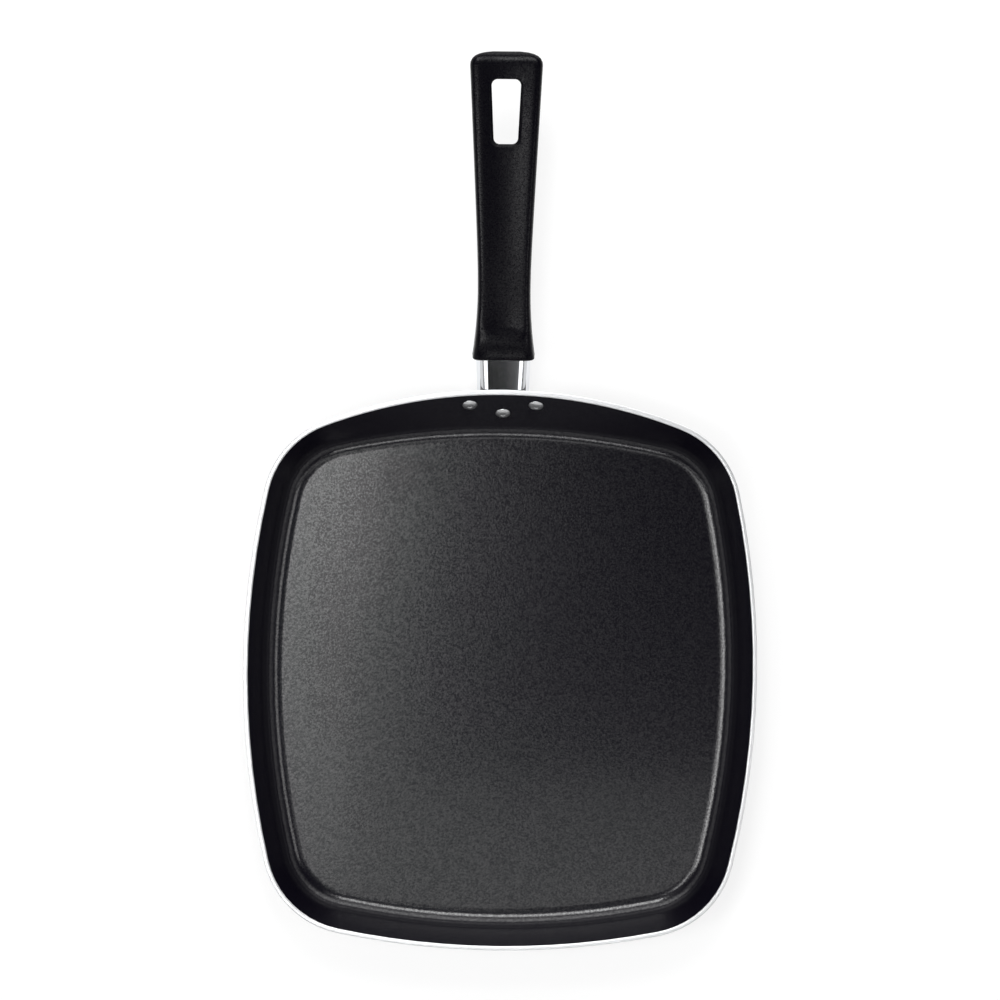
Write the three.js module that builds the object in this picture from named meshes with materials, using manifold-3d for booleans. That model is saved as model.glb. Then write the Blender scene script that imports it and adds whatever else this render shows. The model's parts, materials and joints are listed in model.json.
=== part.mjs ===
// Flat, square grill pan with one long handle.
// Millimetres, +Z up. The origin is the middle of the pan's underside, +Y runs towards the handle.

import * as THREE from 'three';
import { mergeVertices, toCreasedNormals } from 'three/addons/utils/BufferGeometryUtils.js';
import Module from 'manifold-3d';

// Pan: pressed aluminium sheet. Each edge of the flat base bows outwards on a large arc.
const PAN_SHEET = 2.2;
const PAN_DEPTH = 28;
const BASE_HALF_WIDTH = 111.2;
const BASE_HALF_LENGTH = 119;
const BASE_SIDE_RADIUS = 400;
const SIDE_MIDDLE = 4;
const BASE_END_RADIUS = 390;
const BASE_CORNER_RADIUS = 27.5;
const FOOT_RADIUS = 9;
const RIM_EDGE_BREAK = 0.4;

// How far the wall leans out between base and rim. The handle's wall leans more, to a tighter arc.
const WALL_RUN = 15.2;
const HANDLE_WALL_RUN = 22.8;
const RIM_HANDLE_RADIUS = 247;
const RIM_CORNER_RADIUS = 45;

// Rivets: one pair just outside the ferrule, dropped from the rim, and one lower in the middle,
// lifted off the cooking surface.
const RIVET_GAP = 0.55;
const UPPER_RIVET_DROP = 7;
const LOWER_RIVET_LIFT = 14.3;
const RIVET_SHANK_DIAMETER = 4.4;
const RIVET_HEAD_DIAMETER = 7.8;
const RIVET_HEAD_HEIGHT = 1.4;
const RIVET_TAIL_DIAMETER = 6.6;
const RIVET_TAIL_HEIGHT = 1.4;

// Bracket: pressed steel, a flange on the pan's wall and a channel that runs into the grip.
const BRACKET_SHEET = 1.8;
const FLANGE_MARGIN = 5;
const CHANNEL_ROOM = 1.7;
const CHANNEL_HEIGHT = 6.4;
const CHANNEL_INSERT = 34;

// Ferrule: drawn steel tube between the pan and the grip, a little narrower at the pan.
// It covers the lower rivet's tail, with a clearance under it.
const FERRULE_WIDTH = 27.5;
const FERRULE_TAPER = 1.2;
const FERRULE_TAIL_CLEARANCE = 0.7;
const FERRULE_CORNER_RADIUS = 6.2;
const FERRULE_SHEET = 1;
const FERRULE_EXPOSED = 17;
const FERRULE_INSERT = 4;
const FERRULE_TOP_DROP = 0.6;

// Grip: moulded, wide at the collar, narrow at the waist, widest near its end, rising on an arc.
const HANDLE_TILT_DEG = 15;
const GRIP_END_TILT_DEG = 6;
const GRIP_LENGTH = 151.8;
const COLLAR_WALL = 1.5;
const COLLAR_LIP_RISE = 1;
const COLLAR_CREST = 10;
const COLLAR_EDGE_RADIUS = 1.2;
const WAIST_DISTANCE = 35;
const WAIST_WIDTH = 26.1;
const WAIST_THICKNESS = 19;
const WAIST_EASE = 17;
const END_WIDTH = 36.4;
const END_THICKNESS = 14;
const END_ROUNDING = 8;

// The grip's top is hollow from behind the collar to the end, between two narrow shoulders.
const TOP_DISH = 1.2;
const GRIP_SHOULDER = 1.6;
const DISH_START = 12.4;
const DISH_EASE = 5;

// Hanging hole: a tapered slot, wider towards the end of the grip.
const HANG_HOLE_END_MARGIN = 13.6;
const HANG_HOLE_LENGTH = 31.8;
const HANG_HOLE_NEAR_WIDTH = 12.1;
const HANG_HOLE_FAR_WIDTH = 14.5;
const HANG_HOLE_CORNER = 3;
const HANG_HOLE_LIP = 1.1;

// Screw that draws the grip onto the channel, with its washer and square nut.
const SCREW_END_MARGIN = 12;
const SCREW_DIAMETER = 5;
const SCREW_HEAD_DIAMETER = 9.4;
const SCREW_HEAD_HEIGHT = 2.6;
const SCREW_FLOOR = 2.6;
const SCREW_PROUD = 0.4;
const WASHER_MARGIN = 0.2;
const WASHER_THICKNESS = 0.9;
const NUT_SIDE = 8;
const NUT_THICKNESS = 2.5;

// Clearance between neighbouring pieces.
const FIT = 0.3;

// How square the grip's section, its top and its end are, 2 being an ellipse.
const GRIP_SQUARENESS = 3;
const TOP_SQUARENESS = 7;

// Facets: segments on each kind of arc.
const SIDE_SEGMENTS = 12;
const HANDLE_SIDE_SEGMENTS = 32;
const CORNER_SEGMENTS = 10;
const FOOT_SEGMENTS = 9;
const ROUND_SEGMENTS = 20;
const DOME_SEGMENTS = 4;
const GRIP_SECTION_POINTS = 48;
const GRIP_COLLAR_STEPS = 16;
const GRIP_BODY_STEPS = 12;
const GRIP_EDGE_STEPS = 3;
const GRIP_END_STEPS = 8;
const CREASE_DEG = 35;

// Points closer than this are one point.
const SAME_POINT = 1e-4;

// Finishes
const COATED_ALUMINIUM = { color: 0x2a2a2c, roughness: 0.5, metalness: 0.2 };
const BARE_ALUMINIUM = { color: 0xd0d1d2, roughness: 0.35, metalness: 1 };
const ZINCED_STEEL = { color: 0xb4b6b8, roughness: 0.45, metalness: 1 };
const CHROMED_STEEL = { color: 0xdadcdf, roughness: 0.08, metalness: 1 };
const PHENOLIC = { color: 0x1b1b1d, roughness: 0.55, metalness: 0 };

// Sizes that follow from these
const rimHeight = PAN_SHEET + PAN_DEPTH;
const footCentreHeight = PAN_SHEET + FOOT_RADIUS;
const flangeInside = PAN_SHEET + FIT;
const flangeOutside = flangeInside + BRACKET_SHEET;
const rivetTailFoot = flangeOutside + FIT;
const lowerRivetDrop = PAN_DEPTH - LOWER_RIVET_LIFT;
const ferruleFootWidth = FERRULE_WIDTH - FERRULE_TAPER;
const ferruleEnd = FERRULE_EXPOSED + FERRULE_INSERT;
const rivetSpread = ferruleFootWidth / 2 + RIVET_GAP + RIVET_TAIL_DIAMETER / 2;
const channelHollow = RIVET_TAIL_DIAMETER + 2 * CHANNEL_ROOM;
const channelWidth = channelHollow + 2 * BRACKET_SHEET;
const channelEnd = FERRULE_EXPOSED + CHANNEL_INSERT;
const screwDistance = CHANNEL_INSERT - SCREW_END_MARGIN;
const washerDiameter = SCREW_HEAD_DIAMETER + 2 * WASHER_MARGIN;
const handleTilt = THREE.MathUtils.degToRad(HANDLE_TILT_DEG);

// How far a cutting body runs past what it cuts.
const overrun = rimHeight;

const wasm = await Module();
wasm.setup();

// Geometry helpers

function toSolid(geometry, matrix) {
  const bare = geometry.clone();
  if (matrix) bare.applyMatrix4(matrix);
  bare.deleteAttribute('normal');
  bare.deleteAttribute('uv');
  const merged = mergeVertices(bare, SAME_POINT);
  const vertProperties = new Float32Array(merged.attributes.position.array);
  const triVerts = new Uint32Array(merged.index.array);
  return new wasm.Manifold(new wasm.Mesh({ numProp: 3, vertProperties, triVerts }));
}

function toGeometry(solid) {
  const mesh = solid.getMesh();
  const geometry = new THREE.BufferGeometry();
  geometry.setAttribute('position', new THREE.BufferAttribute(mesh.vertProperties, 3));
  geometry.setIndex(new THREE.BufferAttribute(mesh.triVerts, 1));
  return geometry;
}

// Skin a row of closed rings, each the same number of points, and close both ends with a fan.
// The first ring runs counter-clockwise when seen from outside, looking along the row.
function loft(rings) {
  const count = rings[0].length;
  const positions = [];
  const index = [];
  for (const ring of rings) {
    for (const point of ring) positions.push(point.x, point.y, point.z);
  }
  const addMiddle = (ring) => {
    const middle = new THREE.Vector3();
    for (const point of ring) middle.addScaledVector(point, 1 / count);
    positions.push(middle.x, middle.y, middle.z);
    return positions.length / 3 - 1;
  };
  const first = addMiddle(rings[0]);
  const last = addMiddle(rings[rings.length - 1]);
  const lastRing = (rings.length - 1) * count;
  for (let i = 0; i < count; i += 1) {
    const next = (i + 1) % count;
    index.push(first, i, next);
    index.push(last, lastRing + next, lastRing + i);
    for (let r = 0; r < rings.length - 1; r += 1) {
      const near = r * count;
      const far = near + count;
      index.push(near + i, far + i, near + next);
      index.push(near + next, far + i, far + next);
    }
  }
  const geometry = new THREE.BufferGeometry();
  geometry.setAttribute('position', new THREE.Float32BufferAttribute(positions, 3));
  geometry.setIndex(index);
  return geometry;
}

// A turned piece about Z: the profile holds [radius, height] pairs, from its foot to its top.
function turned(profile) {
  const points = profile.map(([radius, height]) => new THREE.Vector2(radius, height));
  return new THREE.LatheGeometry(points, ROUND_SEGMENTS).rotateX(Math.PI / 2);
}

function rod(diameter, foot, top) {
  return turned([[0, foot], [diameter / 2, foot], [diameter / 2, top], [0, top]]);
}

function block(width, length, height, x, y, z) {
  return new THREE.BoxGeometry(width, length, height).translate(x, y, z);
}

// The outline of a band laid round a row of points: arcs at the points, straight between them.
function roundedHull(points, radius) {
  const shape = new THREE.Shape();
  points.forEach((point, i) => {
    const before = points[(i + points.length - 1) % points.length];
    const after = points[(i + 1) % points.length];
    const arriving = Math.atan2(point.y - before.y, point.x - before.x) - Math.PI / 2;
    const leaving = Math.atan2(after.y - point.y, after.x - point.x) - Math.PI / 2;
    shape.absarc(point.x, point.y, radius, arriving, leaving, false);
  });
  return shape;
}

// The points of a closed outline, each of them once.
function outlinePoints(shape, segments) {
  const points = shape.getPoints(segments);
  return points.filter((point, i) => point.distanceTo(points.at(i - 1)) > SAME_POINT);
}

function roundedRectangle(width, height, radius) {
  const x = width / 2 - radius;
  const y = height / 2 - radius;
  const corners = [[x, -y], [x, y], [-x, y], [-x, -y]].map((place) => new THREE.Vector2(...place));
  return outlinePoints(roundedHull(corners, radius), CORNER_SEGMENTS);
}

// The pan's outlines: four bowed edges and four corners, every arc tangent to the next

function circleCrossing(centreA, radiusA, centreB, radiusB) {
  const between = centreB.clone().sub(centreA);
  const distance = between.length();
  const along = (radiusA ** 2 - radiusB ** 2 + distance ** 2) / (2 * distance);
  const aside = Math.sqrt(radiusA ** 2 - along ** 2);
  between.divideScalar(distance);
  return new THREE.Vector2(
    centreA.x + between.x * along - between.y * aside,
    centreA.y + between.y * along + between.x * aside,
  );
}

// One corner of the first quadrant, with the angles where it meets the side and the end.
function cornerBetween(halfWidth, sideRadius, sideMiddle, halfLength, endRadius, cornerRadius) {
  const sideCentre = new THREE.Vector2(halfWidth - sideRadius, sideMiddle);
  const endCentre = new THREE.Vector2(0, halfLength - endRadius);
  const centre = circleCrossing(
    sideCentre, sideRadius - cornerRadius,
    endCentre, endRadius - cornerRadius,
  );
  return {
    x: centre.x,
    y: centre.y,
    sideAngle: centre.clone().sub(sideCentre).angle(),
    endAngle: centre.clone().sub(endCentre).angle(),
  };
}

// Arcs in counter-clockwise order, from the right-hand edge. The third one faces the handle.
function outlineArcs({ halfWidth, sideRadius, handle, handleRadius, far, farRadius, cornerRadius }) {
  const near = cornerBetween(halfWidth, sideRadius, SIDE_MIDDLE, handle, handleRadius, cornerRadius);
  const back = cornerBetween(halfWidth, sideRadius, -SIDE_MIDDLE, far, farRadius, cornerRadius);
  const halfTurn = Math.PI;
  const arc = (x, y, radius, from, to) => new THREE.EllipseCurve(x, y, radius, radius, from, to);
  return [
    arc(halfWidth - sideRadius, SIDE_MIDDLE, sideRadius, -back.sideAngle, near.sideAngle),
    arc(near.x, near.y, cornerRadius, near.sideAngle, near.endAngle),
    arc(0, handle - handleRadius, handleRadius, near.endAngle, halfTurn - near.endAngle),
    arc(-near.x, near.y, cornerRadius, halfTurn - near.endAngle, halfTurn - near.sideAngle),
    arc(
      sideRadius - halfWidth, SIDE_MIDDLE, sideRadius,
      halfTurn - near.sideAngle, halfTurn + back.sideAngle,
    ),
    arc(-back.x, -back.y, cornerRadius, halfTurn + back.sideAngle, halfTurn + back.endAngle),
    arc(0, farRadius - far, farRadius, halfTurn + back.endAngle, 2 * halfTurn - back.endAngle),
    arc(back.x, -back.y, cornerRadius, 2 * halfTurn - back.endAngle, 2 * halfTurn - back.sideAngle),
  ];
}

const HANDLE_ARC = 2;

const baseArcs = outlineArcs({
  halfWidth: BASE_HALF_WIDTH,
  sideRadius: BASE_SIDE_RADIUS,
  handle: BASE_HALF_LENGTH,
  handleRadius: BASE_END_RADIUS,
  far: BASE_HALF_LENGTH,
  farRadius: BASE_END_RADIUS,
  cornerRadius: BASE_CORNER_RADIUS,
});

const rimArcs = outlineArcs({
  halfWidth: BASE_HALF_WIDTH + WALL_RUN,
  sideRadius: BASE_SIDE_RADIUS + WALL_RUN,
  handle: BASE_HALF_LENGTH + HANDLE_WALL_RUN,
  handleRadius: RIM_HANDLE_RADIUS,
  far: BASE_HALF_LENGTH + WALL_RUN,
  farRadius: BASE_END_RADIUS + WALL_RUN,
  cornerRadius: RIM_CORNER_RADIUS,
});

// The pan's wall: at every station a rounded foot, then a straight slope up to the rim

function wallSection(arcNumber, fraction) {
  const foot = baseArcs[arcNumber].getPoint(fraction);
  const outwards = rimArcs[arcNumber].getPoint(fraction).sub(foot);
  const run = outwards.length();
  outwards.divideScalar(run);
  const above = rimHeight - footCentreHeight;
  const slope = Math.atan2(above, run) + Math.asin(FOOT_RADIUS / Math.hypot(above, run));
  return { foot, outwards, slope };
}

// Offset 0 is the inside of the pan and PAN_SHEET its outside.
function footPoint(section, offset, share) {
  const angle = section.slope * share;
  const radius = FOOT_RADIUS + offset;
  return sectionPoint(section, radius * Math.sin(angle), footCentreHeight - radius * Math.cos(angle));
}

function slopePoint(section, offset, height, shift = 0) {
  const radius = FOOT_RADIUS + offset;
  const rise = height - footCentreHeight + radius * Math.cos(section.slope);
  const distance = radius * Math.sin(section.slope) + rise / Math.tan(section.slope);
  return sectionPoint(section, distance + shift, height);
}

function sectionPoint({ foot, outwards }, distance, height) {
  return new THREE.Vector3(foot.x + outwards.x * distance, foot.y + outwards.y * distance, height);
}

// Sides and corners take turns round the outline.
function arcSegments(arcNumber) {
  if (arcNumber === HANDLE_ARC) return HANDLE_SIDE_SEGMENTS;
  return arcNumber % 2 ? CORNER_SEGMENTS : SIDE_SEGMENTS;
}

const sections = rimArcs.flatMap((_, arcNumber) => {
  const segments = arcSegments(arcNumber);
  return Array.from({ length: segments }, (__, k) => wallSection(arcNumber, k / segments));
});

function footRings(offset) {
  return Array.from({ length: FOOT_SEGMENTS + 1 }, (_, k) => (
    sections.map((section) => footPoint(section, offset, k / FOOT_SEGMENTS))
  ));
}

function slopeRing(offset, height, shift) {
  return sections.map((section) => slopePoint(section, offset, height, shift));
}

function panShell() {
  return loft([
    ...footRings(0),
    slopeRing(0, rimHeight - RIM_EDGE_BREAK),
    slopeRing(0, rimHeight, RIM_EDGE_BREAK),
    slopeRing(PAN_SHEET, rimHeight, -RIM_EDGE_BREAK),
    slopeRing(PAN_SHEET, rimHeight - RIM_EDGE_BREAK),
    ...footRings(PAN_SHEET).reverse(),
  ]);
}

// Everything within a distance of the pan's inner face, carried on above the rim.
function panEnvelope(offset) {
  return toSolid(loft([
    slopeRing(offset, rimHeight + overrun),
    ...footRings(offset).reverse(),
  ]));
}

// Places on the handle's wall

const handleSection = wallSection(HANDLE_ARC, 0.5);

// A point of the inner face by its place along the rim and its drop, with the wall's outward normal.
function handleWallFrame(alongRim, drop) {
  const { xRadius, aStartAngle, aEndAngle } = rimArcs[HANDLE_ARC];
  const share = (Math.acos(alongRim / xRadius) - aStartAngle) / (aEndAngle - aStartAngle);
  const step = 1 / HANDLE_SIDE_SEGMENTS;
  const height = rimHeight - drop;
  const wallPoint = (place, level) => slopePoint(wallSection(HANDLE_ARC, place), 0, level);
  const position = wallPoint(share, height);
  const along = wallPoint(share + step, height).sub(wallPoint(share - step, height));
  const up = wallPoint(share, rimHeight).sub(position);
  return { position, normal: along.cross(up).normalize() };
}

const rivetFrames = {
  rivet_left: handleWallFrame(-rivetSpread, UPPER_RIVET_DROP),
  rivet_right: handleWallFrame(rivetSpread, UPPER_RIVET_DROP),
  rivet_lower: handleWallFrame(0, lowerRivetDrop),
};

const alongZ = new THREE.Vector3(0, 0, 1);

function frameMatrix({ position, normal }) {
  const turn = new THREE.Quaternion().setFromUnitVectors(alongZ, normal);
  return new THREE.Matrix4().compose(position, turn, new THREE.Vector3(1, 1, 1));
}

function drillRivetHoles(solid) {
  const drill = rod(RIVET_SHANK_DIAMETER + 2 * FIT, -overrun / 2, overrun / 2);
  return Object.values(rivetFrames).reduce(
    (drilled, frame) => drilled.subtract(toSolid(drill, frameMatrix(frame))),
    solid,
  );
}

// The handle's frame: Y along the ferrule and channel, from the outer edge of the rim

const ferruleTop = slopePoint(handleSection, PAN_SHEET, rimHeight);
ferruleTop.z -= FERRULE_TOP_DROP;

// The ferrule reaches from its top, just under the rim, to just below the lower rivet's tail.
function ferruleHeightOverTail() {
  const { position, normal } = rivetFrames.rivet_lower;
  const upSlope = new THREE.Vector3(0, -normal.z, normal.y);
  const tailEdge = position.clone()
    .addScaledVector(normal, rivetTailFoot + RIVET_TAIL_HEIGHT / 2)
    .addScaledVector(upSlope, -RIVET_TAIL_DIAMETER / 2)
    .sub(ferruleTop);
  const depth = tailEdge.y * Math.sin(handleTilt) - tailEdge.z * Math.cos(handleTilt);
  return depth + FERRULE_TAIL_CLEARANCE + FERRULE_SHEET;
}

const ferruleHeight = ferruleHeightOverTail();
const handleRoot = ferruleTop.clone();
handleRoot.z -= ferruleHeight / 2 / Math.cos(handleTilt);
const handleMatrix = new THREE.Matrix4().makeRotationX(handleTilt).setPosition(handleRoot);

// Bracket

// The flange's outline, drawn on the wall's slope, and pushed through it along the normal.
function flangePrism(margin) {
  const { slope } = handleSection;
  const across = new THREE.Vector3(1, 0, 0);
  const upSlope = new THREE.Vector3(0, Math.cos(slope), Math.sin(slope));
  const inwards = new THREE.Vector3().crossVectors(across, upSlope);
  const middle = slopePoint(handleSection, 0, rimHeight - UPPER_RIVET_DROP);
  const { rivet_lower: lower, rivet_right: right, rivet_left: left } = rivetFrames;
  const places = [lower, right, left].map(({ position }) => {
    const offset = position.clone().sub(middle);
    return new THREE.Vector2(offset.dot(across), offset.dot(upSlope));
  });
  const prism = new THREE.ExtrudeGeometry(roundedHull(places, margin), {
    depth: overrun,
    bevelEnabled: false,
    curveSegments: CORNER_SEGMENTS,
  });
  const place = new THREE.Matrix4().makeBasis(across, upSlope, inwards);
  place.setPosition(middle.clone().addScaledVector(inwards, -overrun / 2));
  return toSolid(prism, place);
}

function bracketSolid() {
  const flange = panEnvelope(flangeOutside).intersect(flangePrism(FLANGE_MARGIN));
  const length = channelEnd + overrun;
  const middle = (channelEnd - overrun) / 2;
  const bar = toSolid(block(channelWidth, length, CHANNEL_HEIGHT, 0, middle, 0), handleMatrix);
  const hollow = block(channelHollow, length + overrun, CHANNEL_HEIGHT, 0, middle, -BRACKET_SHEET);
  const screwHole = rod(SCREW_DIAMETER + 2 * FIT, -CHANNEL_HEIGHT, CHANNEL_HEIGHT);
  screwHole.translate(0, FERRULE_EXPOSED + screwDistance, 0);
  const channel = bar
    .subtract(toSolid(hollow, handleMatrix))
    .subtract(toSolid(screwHole, handleMatrix));
  return drillRivetHoles(flange.add(channel).subtract(panEnvelope(flangeInside)));
}

// Ferrule

// The ferrule's outline, grown all round, with the width that it has at one place set at another.
function ferruleRing(widthAt, grow, distance) {
  const width = ferruleFootWidth + (FERRULE_TAPER * widthAt) / FERRULE_EXPOSED;
  const outline = roundedRectangle(
    width + 2 * grow, ferruleHeight + 2 * grow, FERRULE_CORNER_RADIUS + grow,
  );
  return outline.map((point) => new THREE.Vector3(point.x, distance, point.y));
}

function ferruleBar(from, to, grow) {
  return loft([ferruleRing(from, grow, from), ferruleRing(to, grow, to)]);
}

function ferruleSolid() {
  const outer = ferruleBar(-overrun, ferruleEnd, 0);
  const inner = ferruleBar(-2 * overrun, ferruleEnd + overrun, -FERRULE_SHEET);
  const flangeRoom = panEnvelope(flangeOutside + FIT).intersect(flangePrism(FLANGE_MARGIN + FIT));
  return toSolid(outer, handleMatrix)
    .subtract(toSolid(inner, handleMatrix))
    .subtract(panEnvelope(flangeInside))
    .subtract(flangeRoom);
}

// Grip: its own frame starts at the front face, on the axis of the ferrule

const gripEndTurn = handleTilt - THREE.MathUtils.degToRad(GRIP_END_TILT_DEG);
const spineRadius = GRIP_LENGTH / gripEndTurn;
const collarWidth = FERRULE_WIDTH + 2 * (FIT + COLLAR_WALL);
const frontThickness = ferruleHeight + 2 * (FIT + COLLAR_WALL);
const crestThickness = frontThickness + 2 * COLLAR_LIP_RISE;

// From the collar the size falls to the waist on a parabola, then grows on a hyperbola to the end.
function waisted(distance, collarAt, collar, waist, end) {
  if (distance < WAIST_DISTANCE) {
    const share = (WAIST_DISTANCE - distance) / (WAIST_DISTANCE - collarAt);
    return waist + (collar - waist) * share ** 2;
  }
  const grown = (place) => Math.hypot(place - WAIST_DISTANCE, WAIST_EASE) - WAIST_EASE;
  return waist + ((end - waist) * grown(distance)) / grown(GRIP_LENGTH);
}

// How much of the full size is left at the grip's rounded end.
function endShare(distance) {
  const rounded = Math.max(0, (distance - GRIP_LENGTH + END_ROUNDING) / END_ROUNDING);
  return (1 - rounded ** GRIP_SQUARENESS) ** (1 / GRIP_SQUARENESS);
}

// How much the collar's front edge is rounded off, on a quarter circle.
function frontEdge(distance) {
  const short = Math.max(0, COLLAR_EDGE_RADIUS - distance);
  return COLLAR_EDGE_RADIUS - Math.sqrt(COLLAR_EDGE_RADIUS ** 2 - short ** 2);
}

function gripWidth(distance) {
  const beyondEdge = Math.max(distance, COLLAR_EDGE_RADIUS);
  const width = waisted(beyondEdge, COLLAR_EDGE_RADIUS, collarWidth, WAIST_WIDTH, END_WIDTH);
  return width * endShare(distance) - 2 * frontEdge(distance);
}

function gripThickness(distance) {
  if (distance < COLLAR_CREST) {
    const lip = (1 - distance / COLLAR_CREST) ** 2;
    return crestThickness - 2 * COLLAR_LIP_RISE * lip - 2 * frontEdge(distance);
  }
  return endShare(distance)
    * waisted(distance, COLLAR_CREST, crestThickness, WAIST_THICKNESS, END_THICKNESS);
}

// The hollow in the top starts behind the collar and runs out at the end.
function dishDepth(distance) {
  const started = THREE.MathUtils.smoothstep(distance, DISH_START, DISH_START + DISH_EASE);
  return TOP_DISH * started * endShare(distance);
}

// The frame of a section: on the spine's arc, square to it.
function spineMatrix(distance) {
  const turn = distance / spineRadius;
  return new THREE.Matrix4()
    .makeRotationX(-turn)
    .setPosition(0, spineRadius * Math.sin(turn), spineRadius * (Math.cos(turn) - 1));
}

function gripSection(distance) {
  const halfWidth = gripWidth(distance) / 2;
  const halfThickness = gripThickness(distance) / 2;
  const dish = dishDepth(distance);
  const dishHalf = halfWidth - GRIP_SHOULDER;
  const squared = (value) => Math.sign(value) * Math.abs(value) ** (2 / GRIP_SQUARENESS);
  const place = spineMatrix(distance);
  return Array.from({ length: GRIP_SECTION_POINTS }, (_, i) => {
    const angle = (2 * Math.PI * i) / GRIP_SECTION_POINTS;
    const across = squared(Math.cos(angle));
    const x = halfWidth * across;
    let z = halfThickness * squared(Math.sin(angle));
    if (z > 0) z = halfThickness * (1 - Math.abs(across) ** TOP_SQUARENESS) ** (1 / TOP_SQUARENESS);
    if (z > 0 && Math.abs(x) < dishHalf) z -= dish * (1 - (x / dishHalf) ** 2);
    return new THREE.Vector3(x, 0, z).applyMatrix4(place);
  });
}

// Places of the grip's sections: close together at both ends, where the form turns.
function gripStations() {
  const bodyEnd = GRIP_LENGTH - END_ROUNDING;
  const even = (share) => share;
  const closeAtStart = (share) => 1 - Math.cos((share * Math.PI) / 2);
  const closeAtEnd = (share) => Math.sin((share * Math.PI) / 2);
  const between = (from, to, steps, spacing) => (
    Array.from({ length: steps }, (_, i) => THREE.MathUtils.lerp(from, to, spacing(i / steps)))
  );
  return [
    ...between(0, COLLAR_EDGE_RADIUS, GRIP_EDGE_STEPS, closeAtStart),
    ...between(COLLAR_EDGE_RADIUS, WAIST_DISTANCE, GRIP_COLLAR_STEPS, even),
    ...between(WAIST_DISTANCE, bodyEnd, GRIP_BODY_STEPS, even),
    ...between(bodyEnd, GRIP_LENGTH, GRIP_END_STEPS, closeAtEnd),
  ];
}

function hangHoleOutline(grow) {
  const near = HANG_HOLE_NEAR_WIDTH / 2 - HANG_HOLE_CORNER;
  const far = HANG_HOLE_FAR_WIDTH / 2 - HANG_HOLE_CORNER;
  const reach = HANG_HOLE_LENGTH / 2 - HANG_HOLE_CORNER;
  const corners = [[near, -reach], [far, reach], [-far, reach], [-near, -reach]];
  return roundedHull(corners.map((place) => new THREE.Vector2(...place)), HANG_HOLE_CORNER + grow);
}

// A ring of the hole's outline, clockwise from above, so that a row of rings climbs.
function hangHoleRing(grow, height) {
  const points = outlinePoints(hangHoleOutline(grow), CORNER_SEGMENTS / 2);
  return points.reverse().map((point) => new THREE.Vector3(point.x, point.y, height));
}

function hangHoleSolid() {
  const middle = GRIP_LENGTH - HANG_HOLE_END_MARGIN - HANG_HOLE_LENGTH / 2;
  const half = gripThickness(middle) / 2;
  const top = half - dishDepth(middle);
  const flare = overrun / 2;
  return toSolid(loft([
    hangHoleRing(HANG_HOLE_LIP + flare, -half - flare),
    hangHoleRing(0, HANG_HOLE_LIP - half),
    hangHoleRing(0, top - HANG_HOLE_LIP),
    hangHoleRing(HANG_HOLE_LIP + flare, top + flare),
  ]), spineMatrix(middle));
}

// Heights on the screw's axis, in the grip's frame
const channelTop = CHANNEL_HEIGHT / 2;
const socketFloor = -channelTop - FIT;
const screwSeat = socketFloor - SCREW_FLOOR;
const washerTop = screwSeat - FIT;
const screwHeadTop = washerTop - WASHER_THICKNESS - FIT;
const nutFoot = channelTop + FIT;
const nutTop = nutFoot + NUT_THICKNESS;

function gripSolid() {
  const socketDepth = CHANNEL_INSERT + FIT;
  const socket = block(
    channelWidth + 2 * FIT, socketDepth + overrun, CHANNEL_HEIGHT + 2 * FIT,
    0, (socketDepth - overrun) / 2, 0,
  );
  const slotEnd = screwDistance + NUT_SIDE / 2 + FIT;
  const slotTop = nutTop + FIT + SCREW_PROUD;
  const nutSlot = block(
    NUT_SIDE + 2 * FIT, slotEnd + overrun, slotTop,
    0, (slotEnd - overrun) / 2, slotTop / 2,
  );
  const recess = loft([-overrun, FERRULE_INSERT + FIT].map((distance) => (
    ferruleRing(ferruleEnd, FIT, distance)
  )));
  const shankHole = rod(SCREW_DIAMETER + 2 * FIT, screwSeat - FIT, 0).translate(0, screwDistance, 0);
  const counterbore = rod(washerDiameter + 2 * FIT, screwSeat - overrun, screwSeat);
  counterbore.translate(0, screwDistance, 0);
  return [socket, nutSlot, recess, shankHole, counterbore].reduce(
    (grip, cutter) => grip.subtract(toSolid(cutter)),
    toSolid(loft(gripStations().map(gripSection))).subtract(hangHoleSolid()),
  );
}

// Fasteners

function rivetGeometry() {
  const shank = RIVET_SHANK_DIAMETER / 2;
  const head = RIVET_HEAD_DIAMETER / 2;
  const tail = RIVET_TAIL_DIAMETER / 2;
  const tailEnd = rivetTailFoot + RIVET_TAIL_HEIGHT;
  const dome = Array.from({ length: DOME_SEGMENTS + 1 }, (_, i) => {
    const angle = (Math.PI / 2) * (i / DOME_SEGMENTS);
    return [head * Math.sin(angle), -FIT - RIVET_HEAD_HEIGHT * Math.cos(angle)];
  });
  return turned([
    ...dome,
    [shank, -FIT],
    [shank, rivetTailFoot],
    [tail, rivetTailFoot],
    [tail, tailEnd - RIVET_TAIL_HEIGHT / 2],
    [shank, tailEnd],
    [0, tailEnd],
  ]);
}

function screwGeometry() {
  const head = SCREW_HEAD_DIAMETER / 2;
  const crown = screwHeadTop - SCREW_HEAD_HEIGHT;
  const rounded = SCREW_HEAD_HEIGHT / 2;
  const shank = SCREW_DIAMETER / 2;
  return turned([
    [0, crown],
    [head - rounded, crown],
    [head - rounded * (1 - Math.SQRT1_2), crown + rounded * (1 - Math.SQRT1_2)],
    [head, crown + rounded],
    [head, screwHeadTop],
    [shank, screwHeadTop],
    [shank, nutTop + SCREW_PROUD],
    [0, nutTop + SCREW_PROUD],
  ]);
}

function washerGeometry() {
  const hole = SCREW_DIAMETER / 2 + FIT;
  const edge = washerDiameter / 2;
  const foot = washerTop - WASHER_THICKNESS;
  return turned([[hole, foot], [edge, foot], [edge, washerTop], [hole, washerTop], [hole, foot]]);
}

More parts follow.
